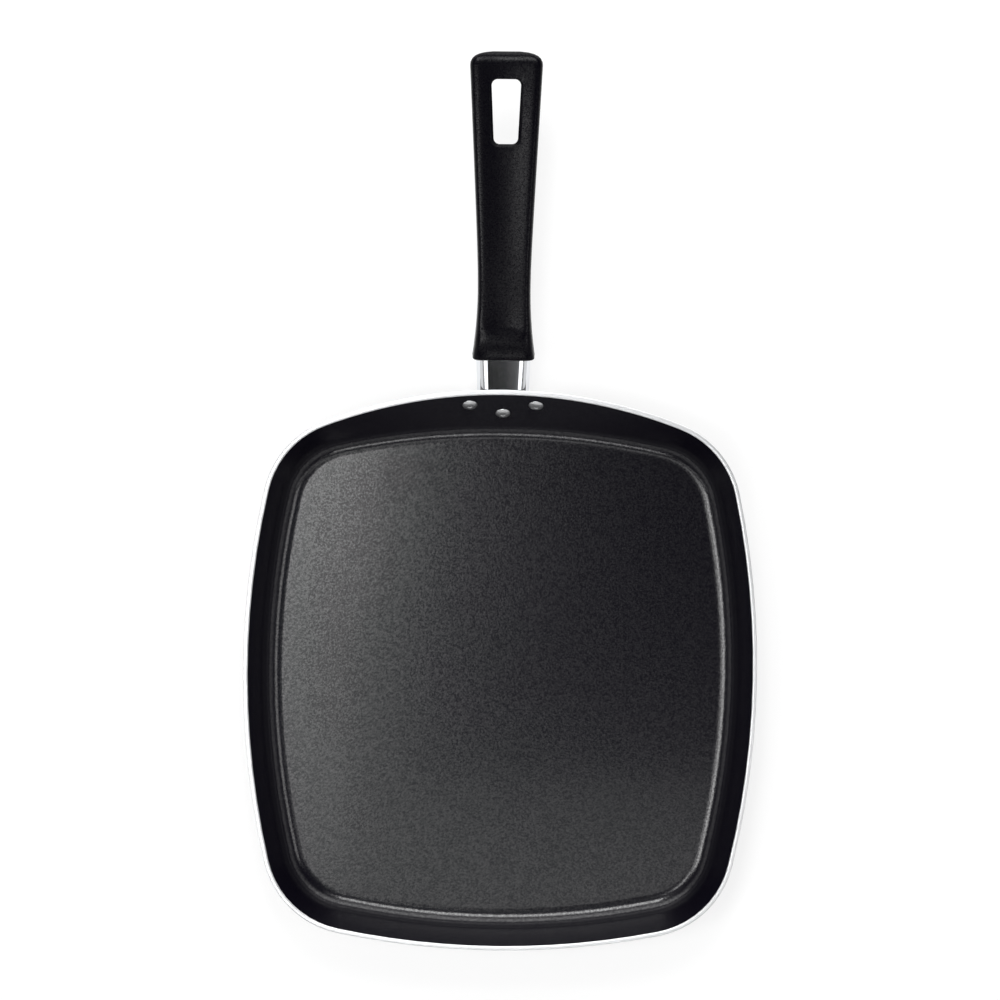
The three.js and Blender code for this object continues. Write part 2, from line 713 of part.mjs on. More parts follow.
function nutGeometry() {
  const half = NUT_SIDE / 2;
  const square = new THREE.Shape([[-half, -half], [half, -half], [half, half], [-half, half]]
    .map((place) => new THREE.Vector2(...place)));
  square.holes.push(new THREE.Path().absarc(0, 0, SCREW_DIAMETER / 2 + FIT, 0, 2 * Math.PI, true));
  return new THREE.ExtrudeGeometry(square, {
    depth: NUT_THICKNESS,
    bevelEnabled: false,
    curveSegments: ROUND_SEGMENTS,
  }).translate(0, 0, nutFoot);
}

// Assembly

function piece(name, geometry, finish) {
  const creased = toCreasedNormals(geometry, THREE.MathUtils.degToRad(CREASE_DEG));
  const mesh = new THREE.Mesh(creased, new THREE.MeshStandardMaterial(finish));
  mesh.name = name;
  return mesh;
}

const pan = new THREE.Group();
pan.add(
  piece('pan_body', toGeometry(drillRivetHoles(toSolid(panShell()))), COATED_ALUMINIUM),
  piece('handle_bracket', toGeometry(bracketSolid()), ZINCED_STEEL),
  piece('ferrule', toGeometry(ferruleSolid()), CHROMED_STEEL),
);

for (const [name, { position, normal }] of Object.entries(rivetFrames)) {
  const rivet = piece(name, rivetGeometry(), BARE_ALUMINIUM);
  rivet.position.copy(position);
  rivet.quaternion.setFromUnitVectors(alongZ, normal);
  pan.add(rivet);
}

const handle = new THREE.Group();
handle.position.copy(new THREE.Vector3(0, FERRULE_EXPOSED, 0).applyMatrix4(handleMatrix));
handle.rotation.x = handleTilt;
pan.add(handle);
handle.add(piece('handle_grip', toGeometry(gripSolid()), PHENOLIC));

const fasteners = {
  handle_screw: screwGeometry(),
  screw_washer: washerGeometry(),
  screw_nut: nutGeometry(),
};

for (const [name, geometry] of Object.entries(fasteners)) {
  const fastener = piece(name, geometry, ZINCED_STEEL);
  fastener.position.y = screwDistance;
  handle.add(fastener);
}

export default pan;
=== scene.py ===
"""A flat, square grill pan: finished pieces and materials round its solids, and a stage to show it."""

import json
import math

import bmesh
import bpy
from bpy.props import FloatProperty, FloatVectorProperty, PointerProperty
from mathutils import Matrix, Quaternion, Vector
from mathutils.bvhtree import BVHTree


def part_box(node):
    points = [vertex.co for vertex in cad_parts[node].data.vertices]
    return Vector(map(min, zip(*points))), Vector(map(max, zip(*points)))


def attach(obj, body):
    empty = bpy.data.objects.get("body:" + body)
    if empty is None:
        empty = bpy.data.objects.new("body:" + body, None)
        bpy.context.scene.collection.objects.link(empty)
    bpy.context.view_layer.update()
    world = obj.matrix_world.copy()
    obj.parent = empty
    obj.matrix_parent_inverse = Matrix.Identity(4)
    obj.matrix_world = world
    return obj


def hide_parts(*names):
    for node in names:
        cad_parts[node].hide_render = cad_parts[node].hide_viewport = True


bl_info = {
    "name": "Grill Pan",
    "version": (1, 0, 0),
    "blender": (4, 5, 0),
    "location": "View3D > Sidebar > Grill Pan",
    "description": "Dresses a flat grill pan's solids with finished pieces, materials and a stage",
    "category": "Add Mesh",
}

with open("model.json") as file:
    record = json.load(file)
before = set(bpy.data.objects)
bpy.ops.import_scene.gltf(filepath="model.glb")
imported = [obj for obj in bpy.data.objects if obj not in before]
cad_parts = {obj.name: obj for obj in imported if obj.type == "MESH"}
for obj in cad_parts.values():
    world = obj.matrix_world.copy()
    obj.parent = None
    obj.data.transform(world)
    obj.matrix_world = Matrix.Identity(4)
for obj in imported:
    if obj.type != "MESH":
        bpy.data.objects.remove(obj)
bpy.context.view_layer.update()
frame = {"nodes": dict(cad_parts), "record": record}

MM = 0.001
BODY = "root"

# Points closer than this are one point.
SAME_POINT = 0.002 * MM
# Two triangles are one face when they bend by less than this, and the face is skewed by less than this.
FLAT_ANGLE = math.radians(6)
QUAD_SHAPE = math.radians(40)
# Faces that meet at more than this get a rounded edge.
SHARP_ANGLE = math.radians(28)
# Faces that meet at more than this are shaded apart.
SMOOTH_ANGLE = math.radians(35)
# Steps in the rounding of an edge, on the metal and on the grip.
EDGE_SEGMENTS = 2
LIP_SEGMENTS = 3

RIM_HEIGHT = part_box("pan_body")[1].z
GRIP_HALF_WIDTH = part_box("handle_grip")[1].x
MOUNTS = {mount["name"]: Vector(mount["pos_m"]) for mount in frame["record"]["mounts"]}
COOKING_HEIGHT = MOUNTS["cooking_surface"].z


def linear(hex_colour):
    """The linear red, green and blue of an sRGB hex colour."""
    channels = [int(hex_colour[i:i + 2], 16) / 255 for i in (1, 3, 5)]
    return [c / 12.92 if c <= 0.04045 else ((c + 0.055) / 1.055) ** 2.4 for c in channels]


def length(name, description, default):
    """A size in metres that a user can change."""
    return FloatProperty(
        name=name, description=description, default=default, min=0, unit="LENGTH", precision=5,
    )


def colour(name, description, hex_colour):
    """A surface colour that a user can change."""
    return FloatVectorProperty(
        name=name, description=description, default=linear(hex_colour), min=0, max=1, subtype="COLOR",
    )


class GrillPanSizes(bpy.types.PropertyGroup):
    """Sizes of the details that the solids leave out."""

    edge_round: length("Edge rounding", "Largest radius on the edges of the metal pieces", 0.15 * MM)
    surface_border: length("Cooking surface border", "Strip that holds its shading flat", 0.2 * MM)
    rim_round: length("Rim rounding", "Radius on the two edges of the pan's rim", 0.25 * MM)
    lip_round: length("Moulded edge rounding", "Largest radius on the edges of the grip", 0.45 * MM)
    flash_width: length("Flash line width", "Width of the mould's line along the grip", 0.5 * MM)
    flash_height: length("Flash line height", "How far the mould's line stands off the grip", 0.1 * MM)
    head_height: length("Rivet head height", "How far a rivet's head stands off the wall", 1.3 * MM)
    die_ring: length("Die ring width", "Width of the ring that the die leaves on a rivet's head", 0.25 * MM)
    die_depth: length("Die mark depth", "Depth of the mark inside that ring", 0.2 * MM)
    ring_outer: length("Turned base radius", "Radius of the turned field under the base", 98 * MM)
    ring_pitch: length("Turned ring pitch", "Distance between grooves under the base", 7 * MM)
    ring_depth: length("Turned ring depth", "Depth of the grooves under the base", 0.25 * MM)
    recess_width: length("Screw recess width", "Width of each slot in the screw's head", 1.1 * MM)
    recess_length: length("Screw recess length", "Length of each slot in the screw's head", 5.2 * MM)
    recess_depth: length("Screw recess depth", "Depth of the slots in the screw's head", 1.2 * MM)
    coating_grain: length("Coating grain", "Spacing of the grain in the non-stick coating", 0.85 * MM)
    phenolic_grain: length("Grip grain", "Spacing of the fine grain on the moulded grip", 0.8 * MM)
    turning_pitch: length("Turning marks", "Spacing of the fine marks left by the lathe", 0.9 * MM)


class GrillPanColours(bpy.types.PropertyGroup):
    """Colours of the finishes."""

    coating: colour("Coating", "Non-stick coating inside the pan", "#080610")
    paint: colour("Outer paint", "Heat-proof paint outside the pan", "#121214")
    aluminium: colour("Bare aluminium", "Rim, rivets and turned base", "#E4E5E6")
    zinc: colour("Zinc plate", "Bracket, screw, washer and nut", "#C3C7CB")
    chrome: colour("Chrome plate", "Ferrule", "#E9EBEE")
    phenolic: colour("Phenolic", "Moulded grip", "#06050B")
    floor: colour("Floor", "Paper that the pan stands on", "#9A9A9A")


class GrillPanStage(bpy.types.PropertyGroup):
    """Camera and light."""

    camera_height: FloatProperty(
        name="Camera height", description="Height of the camera above the floor",
        default=1.502, unit="LENGTH",
    )
    camera_roll: FloatProperty(
        name="Camera roll", description="Turn of the camera about its own axis",
        default=math.radians(0.6), unit="ROTATION",
    )
    lens: FloatProperty(
        name="Focal length", description="Focal length of the camera on a 36 mm frame",
        default=106.0, min=1, unit="CAMERA",
    )
    box_height: FloatProperty(
        name="Soft box height", description="Height of the soft boxes above the floor",
        default=1.2, unit="LENGTH",
    )
    box_level: FloatProperty(
        name="Soft box level", description="Share of their brightness that the soft boxes give",
        default=1.0, min=0, subtype="FACTOR",
    )


# Small tools


def make_active(piece):
    """Leave edit mode, and select this piece alone."""
    if bpy.context.mode != "OBJECT":
        bpy.ops.object.mode_set(mode="OBJECT")
    bpy.ops.object.select_all(action="DESELECT")
    piece.select_set(True)
    bpy.context.view_layer.objects.active = piece


def edit(piece):
    """Open a piece in edit mode."""
    make_active(piece)
    bpy.ops.object.mode_set(mode="EDIT")


def pick(piece, kind, test, needed=True):
    """In edit mode, select the vertices, edges or faces that pass a test, and say whether there are any."""
    bpy.ops.mesh.select_mode(type={"verts": "VERT", "edges": "EDGE", "faces": "FACE"}[kind])
    bpy.ops.mesh.select_all(action="DESELECT")
    mesh = bmesh.from_edit_mesh(piece.data)
    found = [part for part in getattr(mesh, kind) if test(part)]
    if needed and not found:
        raise RuntimeError(f"{piece.name} has none of the {kind} to work on")
    for part in found:
        part.select_set(True)
    mesh.select_flush_mode()
    bmesh.update_edit_mesh(piece.data)
    return bool(found)


def copy_of_node(node, name):
    """A copy of a solid to work on, its loose triangles merged into faces."""
    piece = bpy.data.objects.new(name, frame["nodes"][node].data.copy())
    bpy.context.scene.collection.objects.link(piece)
    piece.data.materials.clear()
    edit(piece)
    bpy.ops.mesh.customdata_custom_splitnormals_clear()
    bpy.ops.mesh.select_all(action="SELECT")
    bpy.ops.mesh.remove_doubles(threshold=SAME_POINT)
    bpy.ops.mesh.tris_convert_to_quads(face_threshold=FLAT_ANGLE, shape_threshold=QUAD_SHAPE)
    bpy.ops.object.mode_set(mode="OBJECT")
    return piece


def is_sharp(edge):
    """Whether the two faces of an edge meet at a real corner."""
    return len(edge.link_faces) == 2 and edge.calc_face_angle() > SHARP_ANGLE


def round_edges(piece, radius, segments, test=is_sharp):
    """Bevel the edges that pass a test, by no more than the shortest edges beside them leave room for."""
    edit(piece)
    pick(piece, "edges", test)
    bpy.ops.mesh.bevel(offset=radius, segments=segments, clamp_overlap=True)
    bpy.ops.object.mode_set(mode="OBJECT")


def apply_modifier(piece, name, kind, **settings):
    """Add a modifier with its settings, and apply it."""
    make_active(piece)
    modifier = piece.modifiers.new(name, kind)
    for setting, value in settings.items():
        setattr(modifier, setting, value)
    bpy.ops.object.modifier_apply(modifier=name)


def finish_piece(piece, slot, *nodes):
    """Smooth a piece, put it in place of its solids and let it ride with the pan."""
    make_active(piece)
    bpy.ops.object.shade_smooth_by_angle(angle=SMOOTH_ANGLE)
    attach(piece, BODY)
    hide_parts(*nodes)


# Materials


# Most of a noise texture lies between these values.
NOISE_LOW = 0.3
NOISE_HIGH = 0.7

# The wave texture's spacing at a scale of 1.
WAVE_SPACING = math.pi / 10


def add_node(tree, kind, inputs=None, **settings):
    """Add a node, set it, and fill its inputs with values or with links from other nodes' sockets."""
    node = tree.nodes.new(kind)
    for setting, value in settings.items():
        setattr(node, setting, value)
    for name, value in (inputs or {}).items():
        if isinstance(value, bpy.types.NodeSocket):
            tree.links.new(value, node.inputs[name])
        else:
            node.inputs[name].default_value = value
    return node


def new_material(name, base, **shader):
    """A material with its shader's plain values, its tree, its shader and its object coordinates."""
    material = bpy.data.materials.new(name)
    material.use_nodes = True
    tree = material.node_tree
    surface = tree.nodes["Principled BSDF"]
    surface.inputs["Base Color"].default_value = (*base, 1)
    for socket, value in shader.items():
        surface.inputs[socket.replace("_", " ").title().replace("Ior", "IOR")].default_value = value
    place = add_node(tree, "ShaderNodeTexCoord").outputs["Object"]
    return material, tree, surface, place


def sizes():
    """The sizes that the panel shows."""
    return bpy.context.scene.grill_pan_sizes


def colours():
    """The colours that the panel shows."""
    return bpy.context.scene.grill_pan_colours


def nonstick_coating():
    """Fluoropolymer sprayed and baked on blasted aluminium: near black, satin, with an even fine grain."""
    material, tree, surface, place = new_material(
        "nonstick_coating", colours().coating, roughness=0.245, ior=1.42,
        coat_weight=0.25, coat_roughness=0.09,
    )
    # The real grain is about a quarter of this, too fine to show from above.
    grain = add_node(tree, "ShaderNodeTexNoise", {
        "Vector": place, "Scale": 1 / sizes().coating_grain, "Detail": 0.5,
    })
    relief = add_node(tree, "ShaderNodeBump", {
        "Height": grain.outputs["Fac"], "Strength": 0.5, "Distance": 0.06 * MM,
    })
    tree.links.new(relief.outputs["Normal"], surface.inputs["Normal"])
    gleam = add_node(tree, "ShaderNodeMapRange", {
        "Value": grain.outputs["Fac"], "From Min": NOISE_LOW, "From Max": NOISE_HIGH,
        "To Min": 0.25, "To Max": 0.76,
    })
    tree.links.new(gleam.outputs["Result"], surface.inputs["Specular IOR Level"])
    return material


def outer_paint():
    """Heat-proof silicone paint, sprayed on: satin black with a slight orange peel."""
    material, tree, surface, place = new_material(
        "outer_paint", colours().paint, roughness=0.36, ior=1.48,
    )
    peel_width = 2.2 * MM
    peel = add_node(tree, "ShaderNodeTexNoise", {"Vector": place, "Scale": 1 / peel_width, "Detail": 2.0})
    relief = add_node(tree, "ShaderNodeBump", {
        "Height": peel.outputs["Fac"], "Strength": 0.35, "Distance": 0.05 * MM,
    })
    tree.links.new(relief.outputs["Normal"], surface.inputs["Normal"])
    return material


def bare_rim():
    """Aluminium sheet, trimmed on a lathe and left bare: bright, with fine marks along the cut."""
    material, tree, surface, place = new_material(
        "bare_rim", colours().aluminium, metallic=1.0, roughness=0.4,
    )
    # The real marks are finer. They are drawn as coarse as they need to show.
    mark_width = 0.7 * MM
    marks = add_node(tree, "ShaderNodeTexNoise", {"Vector": place, "Scale": 1 / mark_width, "Detail": 3.0})
    spread = add_node(tree, "ShaderNodeMapRange", {
        "Value": marks.outputs["Fac"], "To Min": 0.32, "To Max": 0.5,
    })
    tree.links.new(spread.outputs["Result"], surface.inputs["Roughness"])
    return material


def turned_base():
    """Aluminium faced on a lathe: bright, with fine rings about the middle of the base."""
    material, tree, surface, place = new_material(
        "turned_base", colours().aluminium, metallic=1.0, roughness=0.34,
    )
    rings = add_node(tree, "ShaderNodeTexWave", {
        "Vector": place, "Scale": WAVE_SPACING / sizes().turning_pitch, "Distortion": 0.4, "Detail": 1.0,
    }, wave_type="RINGS", rings_direction="Z")
    relief = add_node(tree, "ShaderNodeBump", {
        "Height": rings.outputs["Fac"], "Strength": 0.4, "Distance": 0.04 * MM,
    })
    tree.links.new(relief.outputs["Normal"], surface.inputs["Normal"])
    return material


def headed_aluminium():
    """Soft aluminium, headed cold between dies: bright satin, with faint marks from the die."""
    material, tree, surface, place = new_material(
        "headed_aluminium", colours().aluminium, metallic=1.0, roughness=0.3,
    )
    mark_width = 1.1 * MM
    marks = add_node(tree, "ShaderNodeTexNoise", {"Vector": place, "Scale": 1 / mark_width, "Detail": 3.0})
    spread = add_node(tree, "ShaderNodeMapRange", {
        "Value": marks.outputs["Fac"], "To Min": 0.22, "To Max": 0.42,
    })
    tree.links.new(spread.outputs["Result"], surface.inputs["Roughness"])
    return material


def zinc_plate():
    """Bright zinc on steel: a cool grey with a soft, cloudy sheen."""
    material, tree, surface, place = new_material(
        "zinc_plate", colours().zinc, metallic=1.0, roughness=0.38,
    )
    cloud_width = 4 * MM
    cloud = add_node(tree, "ShaderNodeTexNoise", {"Vector": place, "Scale": 1 / cloud_width, "Detail": 3.0})
    spread = add_node(tree, "ShaderNodeMapRange", {
        "Value": cloud.outputs["Fac"], "To Min": 0.28, "To Max": 0.48,
    })
    tree.links.new(spread.outputs["Result"], surface.inputs["Roughness"])
    return material


def chrome_plate():
    """Chrome on drawn and polished steel: a clean mirror with a trace of the polishing."""
    material, tree, surface, place = new_material(
        "chrome_plate", colours().chrome, metallic=1.0, roughness=0.06,
    )
    # The real marks are finer. They are drawn as coarse as they need to show.
    mark_width = 0.5 * MM
    mark_length = 30 * MM
    long_marks = add_node(tree, "ShaderNodeMapping", {
        "Vector": place, "Scale": (1 / mark_width, 1 / mark_length, 1 / mark_width),
    })
    marks = add_node(tree, "ShaderNodeTexNoise", {
        "Vector": long_marks.outputs["Vector"], "Scale": 1.0, "Detail": 2.0,
    })
    spread = add_node(tree, "ShaderNodeMapRange", {
        "Value": marks.outputs["Fac"], "To Min": 0.03, "To Max": 0.1,
    })
    tree.links.new(spread.outputs["Result"], surface.inputs["Roughness"])
    return material


def moulded_phenolic():
    """Phenolic resin, pressed in a fine-blasted mould: black and satin, with a very fine grain."""
    material, tree, surface, place = new_material(
        "moulded_phenolic", colours().phenolic, roughness=0.27, ior=1.45,
    )
    # The real grain is finer. It is drawn as coarse as it needs to show.
    grain = add_node(tree, "ShaderNodeTexNoise", {
        "Vector": place, "Scale": 1 / sizes().phenolic_grain, "Detail": 1.5,
    })
    relief = add_node(tree, "ShaderNodeBump", {
        "Height": grain.outputs["Fac"], "Strength": 0.4, "Distance": 0.04 * MM,
    })
    tree.links.new(relief.outputs["Normal"], surface.inputs["Normal"])
    gleam = add_node(tree, "ShaderNodeMapRange", {
        "Value": grain.outputs["Fac"], "From Min": NOISE_LOW, "From Max": NOISE_HIGH,
        "To Min": 0.05, "To Max": 0.21,
    })
    tree.links.new(gleam.outputs["Result"], surface.inputs["Specular IOR Level"])
    return material


# Pieces


# Edges of the rim lie within this band below its top, and bend by more than this angle.
RIM_EDGE_BAND = 0.5 * MM
RIM_EDGE_ANGLE = math.radians(15)
# Faces within this band below the rim's top are bare.
RIM_BARE_BAND = 0.45 * MM


class GRILLPAN_OT_pan(bpy.types.Operator):
    """Model the pressed pan: its coated inside, bare rim, painted outside and turned base"""

    bl_idname = "grill_pan.pan"
    bl_label = "Pan"

    def execute(self, context):
        piece = copy_of_node("pan_body", "pan_shell")
        edit(piece)
        self.hold_cooking_surface(piece)
        self.turn_base(piece)
        round_edges(piece, sizes().rim_round, EDGE_SEGMENTS, self.on_rim)
        self.finish_faces(piece)
        finish_piece(piece, "nonstick_aluminium", "pan_body")
        return {"FINISHED"}

    @staticmethod
    def flat_at(height):
        """A test for the flat faces at a height."""
        return lambda face: all(abs(v.co.z - height) < SAME_POINT for v in face.verts)

    def hold_cooking_surface(self, piece):
        """Make the cooking surface one face, and hold its shading flat by a narrow border."""
        pick(piece, "faces", self.flat_at(COOKING_HEIGHT))
        bpy.ops.mesh.dissolve_faces()
        bpy.ops.mesh.inset(thickness=sizes().surface_border)

    def turn_base(self, piece):
        """Cut the turned field of rings into the underside."""
        pick(piece, "faces", self.flat_at(0))
        bpy.ops.mesh.dissolve_faces()
        mesh = bmesh.from_edit_mesh(piece.data)
        outline = len(next(face for face in mesh.faces if face.select).verts)
        bpy.ops.mesh.delete(type="ONLY_FACE")
        bpy.ops.mesh.primitive_circle_add(vertices=outline, radius=sizes().ring_outer)
        pick(piece, "edges", lambda edge: edge.is_boundary or edge.is_wire)
        bpy.ops.mesh.bridge_edge_loops()
        pick(piece, "edges", lambda edge: edge.is_boundary)
        bpy.ops.mesh.edge_face_add()
        bpy.ops.mesh.select_all(action="SELECT")
        bpy.ops.mesh.normals_make_consistent(inside=False)
        on_base = self.flat_at(0)
        pick(piece, "faces", lambda face: on_base(face) and len(face.verts) == outline)
        # Each side of a groove runs twice as far as it is deep.
        slope = sizes().ring_depth * 2
        land = sizes().ring_pitch / 2 - slope
        for _ in range(int(sizes().ring_outer / sizes().ring_pitch) - 1):
            bpy.ops.mesh.inset(thickness=land)
            bpy.ops.mesh.inset(thickness=slope, depth=-sizes().ring_depth)
            bpy.ops.mesh.inset(thickness=land)
            bpy.ops.mesh.inset(thickness=slope, depth=sizes().ring_depth)

    @staticmethod
    def on_rim(edge):
        """A test for the long edges of the rim."""
        high = all(vert.co.z > RIM_HEIGHT - RIM_EDGE_BAND for vert in edge.verts)
        return high and len(edge.link_faces) == 2 and edge.calc_face_angle() > RIM_EDGE_ANGLE

    @staticmethod
    def finish_faces(piece):
        """Give each face its finish by its place and the way that it looks."""
        for material in (nonstick_coating(), bare_rim(), outer_paint(), turned_base()):
            piece.data.materials.append(material)
        inside, rim, outside, base = range(4)
        for face in piece.data.polygons:
            across = max(Vector(piece.data.vertices[i].co.xy).length for i in face.vertices)
            low = face.center.z < COOKING_HEIGHT / 2
            if all(piece.data.vertices[i].co.z > RIM_HEIGHT - RIM_BARE_BAND for i in face.vertices):
                face.material_index = rim
            elif low and across < sizes().ring_outer + SAME_POINT:
                face.material_index = base
            else:
                face.material_index = inside if face.normal.z > 0 else outside


class GRILLPAN_OT_bracket(bpy.types.Operator):
    """Model the pressed steel bracket on the pan's wall"""

    bl_idname = "grill_pan.bracket"
    bl_label = "Handle bracket"

    def execute(self, context):
        piece = copy_of_node("handle_bracket", "bracket_pressing")
        round_edges(piece, sizes().edge_round, EDGE_SEGMENTS)
        piece.data.materials.append(zinc_plate())
        finish_piece(piece, "zinc_plated_steel", "handle_bracket")
        return {"FINISHED"}


class GRILLPAN_OT_ferrule(bpy.types.Operator):
    """Model the drawn, chromed tube between pan and grip"""

    bl_idname = "grill_pan.ferrule"
    bl_label = "Ferrule"

    def execute(self, context):
        piece = copy_of_node("ferrule", "ferrule_tube")
        round_edges(piece, sizes().edge_round, EDGE_SEGMENTS)
        piece.data.materials.append(chrome_plate())
        finish_piece(piece, "chromed_steel", "ferrule")
        # A mirror shows every bent normal, so its flat faces are kept truly flat.
        apply_modifier(piece, "flat_first", "WEIGHTED_NORMAL", keep_sharp=True)
        return {"FINISHED"}


# A rivet's head starts this far off the wall, and its crown at this share of its height.
HEAD_FOOT = 0.35 * MM
CROWN_SHARE = 0.86
# Heights on the head are rounded to this many digits of a metre, and points this close to one are its ring.
HEIGHT_DIGITS = 5
RING_BAND = 0.01 * MM


class GRILLPAN_OT_rivets(bpy.types.Operator):
    """Model the headed rivets, with the mark of the die on each head"""

    bl_idname = "grill_pan.rivets"
    bl_label = "Rivets"

    def execute(self, context):
        aluminium = headed_aluminium()
        for node in ("rivet_left", "rivet_right", "rivet_lower"):
            piece = copy_of_node(node, node + "_headed")
            self.flatten_head(piece, node)
            round_edges(piece, sizes().edge_round, EDGE_SEGMENTS)
            apply_modifier(piece, "smooth", "SUBSURF", levels=2, render_levels=2)
            piece.data.materials.append(aluminium)
            finish_piece(piece, "bare_aluminium", node)
        return {"FINISHED"}

    @staticmethod
    def flatten_head(piece, node):
        """Lower the rings of the domed head, and press the die's mark into its crown."""
        low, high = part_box(node)
        beside = Vector((high.x, low.y, high.z))
        pan = frame["nodes"]["pan_body"].data
        wall = BVHTree.FromPolygons(
            [vert.co for vert in pan.vertices], [face.vertices for face in pan.polygons],
        )
        foot, axis, _, _ = wall.find_nearest(beside)

        def off_wall(point):
            return (point - foot).dot(axis)

        heights = {round(off_wall(vert.co), HEIGHT_DIGITS) for vert in piece.data.vertices}
        crown = max(heights)
        edit(piece)
        for height in sorted(height for height in heights if height > HEAD_FOOT):
            # A ring that falls between two of these heights has already moved with the lower one.
            if pick(piece, "verts", lambda vert: abs(off_wall(vert.co) - height) < RING_BAND, needed=False):
                bpy.ops.transform.translate(value=axis * height * (sizes().head_height / crown - 1))
        crown_foot = CROWN_SHARE * sizes().head_height
        pick(piece, "faces", lambda face: off_wall(face.calc_center_median()) > crown_foot)
        bpy.ops.mesh.inset(thickness=sizes().die_ring, depth=-sizes().die_depth)
        bpy.ops.object.mode_set(mode="OBJECT")


# Where the mould parts, a unit normal has less than this upwards, and more than this sideways.
LEVEL_SHARE = 0.05
SIDEWAYS_SHARE = 0.9
# The parting line's edges run along the grip by more than this share of their length.
LENGTHWISE_SHARE = 0.7


class GRILLPAN_OT_grip(bpy.types.Operator):
    """Model the moulded grip, with the flash line of the mould along its sides"""

    bl_idname = "grill_pan.grip"
    bl_label = "Grip"

    def execute(self, context):
        piece = copy_of_node("handle_grip", "grip_moulding")
        round_edges(piece, sizes().lip_round, LIP_SEGMENTS)
        self.raise_flash_line(piece)
        piece.data.materials.append(moulded_phenolic())
        finish_piece(piece, "moulded_phenolic", "handle_grip")
        return {"FINISHED"}

    @staticmethod
    def on_parting_line(edge):
        """A test for the lengthwise edges where the two halves of the mould meet, at the grip's widest."""
        along = edge.verts[1].co - edge.verts[0].co
        level = all(abs(vert.normal.z) < LEVEL_SHARE for vert in edge.verts)
        outward = all(vert.normal.x * vert.co.x > 0 for vert in edge.verts)
        sideways = all(abs(vert.normal.x) > SIDEWAYS_SHARE for vert in edge.verts)
        wide = all(abs(vert.co.x) > GRIP_HALF_WIDTH / 2 for vert in edge.verts)
        lengthwise = abs(along.y) > LENGTHWISE_SHARE * along.length
        return level and outward and sideways and wide and lengthwise

    def raise_flash_line(self, piece):
        """Raise the thin line that the joint of the mould leaves along both sides."""
        edit(piece)
        pick(piece, "edges", self.on_parting_line)
        bpy.ops.mesh.bevel(offset=sizes().flash_width / 2, segments=1)
        bpy.ops.mesh.select_mode(type="FACE")
        # The line's two slopes take half of its width.
        bpy.ops.mesh.inset(thickness=sizes().flash_width / 4, depth=sizes().flash_height)
        bpy.ops.object.mode_set(mode="OBJECT")


# On the crown of the screw's head, a unit normal has more than this downwards.
DOWNWARD_SHARE = 0.9


class GRILLPAN_OT_fasteners(bpy.types.Operator):
    """Model the screw, washer and nut that hold the grip"""

    bl_idname = "grill_pan.fasteners"
    bl_label = "Screw, washer and nut"

    def execute(self, context):
        zinc = zinc_plate()
        names = {
            "handle_screw": "screw_turned",
            "screw_washer": "washer_stamped",
            "screw_nut": "nut_pressed",
        }
        for node, name in names.items():
            piece = copy_of_node(node, name)
            round_edges(piece, sizes().edge_round, EDGE_SEGMENTS)
            if node == "handle_screw":
                self.cut_recess(piece)
            piece.data.materials.append(zinc)
            finish_piece(piece, "zinc_plated_steel", node)
        return {"FINISHED"}

    @staticmethod
    def cut_recess(screw):
        """Cut a cross of two slots into the crown of the screw's head, which looks down."""
        crown = [face for face in screw.data.polygons if face.normal.z < -DOWNWARD_SHARE]
        area = sum(face.area for face in crown)
        middle = sum((face.center * face.area for face in crown), Vector()) / area
        axis = sum((face.normal * face.area for face in crown), Vector()).normalized()
        for turn in (0, math.pi / 2):
            way = axis.to_track_quat("Z", "Y") @ Quaternion((0, 0, 1), turn)
            bpy.ops.object.select_all(action="DESELECT")
            bpy.ops.mesh.primitive_cube_add(
                size=1, location=middle, rotation=way.to_euler(),
                scale=(sizes().recess_length, sizes().recess_width, 2 * sizes().recess_depth),
            )
            slot = bpy.context.object
            apply_modifier(screw, "recess", "BOOLEAN", operation="DIFFERENCE", object=slot)
            bpy.data.objects.remove(slot)


# Stage


# The camera looks straight down on this point of the floor, in metres.
CAMERA_POINT = (-0.001, 0.089)

# Width of the paper in metres, and the brightness added to it for the camera and for reflections.
FLOOR_SIZE = 8
PAPER_LIFT = 0.74

# Brightness of the tent's wall and of its opening overhead, where white paper is 1.
TENT_WALL = 0.75
TENT_OPENING = 0.02
# Upward part of a unit direction, where the wall ends and where the opening is full.
OPENING_HEIGHTS = (0.35, 0.65)
# How many times brighter the tent is behind the handle.
BEHIND_TIMES = 4.0
# Far part of a unit direction, where that starts and where it is full.
BEHIND_REACHES = (0.55, 0.95)

# Soft boxes overhead: left, right, near and far edge in metres, then the brightness at the near and
# at the far edge, where white paper is 1.
SOFT_BOXES = {
    "left_far_box": (-0.30, -0.116, -0.02, 0.22, 4.1, 10.6),
    "left_near_box": (-0.30, -0.134, -0.30, -0.02, 2.8, 4.3),
    "inner_far_box": (-0.116, -0.076, -0.02, 0.22, 0.5, 3.8),
    "inner_near_box": (-0.134, -0.076, -0.16, -0.02, 0.9, 0.8),
    "far_left_box": (-0.80, -0.36, -0.20, 0.10, 10.0, 9.0),
    "handle_box": (-0.25, 0.14, 0.69, 1.25, 13.0, 9.5),
    "far_near_box": (-0.10, 0.24, -1.24, -0.84, 6.0, 6.0),
    "near_box": (-0.134, 0.26, -0.38, -0.16, 2.4, 1.0),
    "right_box": (0.50, 0.95, -0.25, 0.05, 4.0, 4.0),
    "left_strip": (-1.40, -0.20, -0.62, -0.42, 1.6, 1.6),
    "right_strip": (0.20, 1.40, -0.62, -0.42, 1.6, 1.6),
    "ferrule_box": (0.012, 0.19, -0.62, -0.42, 0.12, 0.12),
}


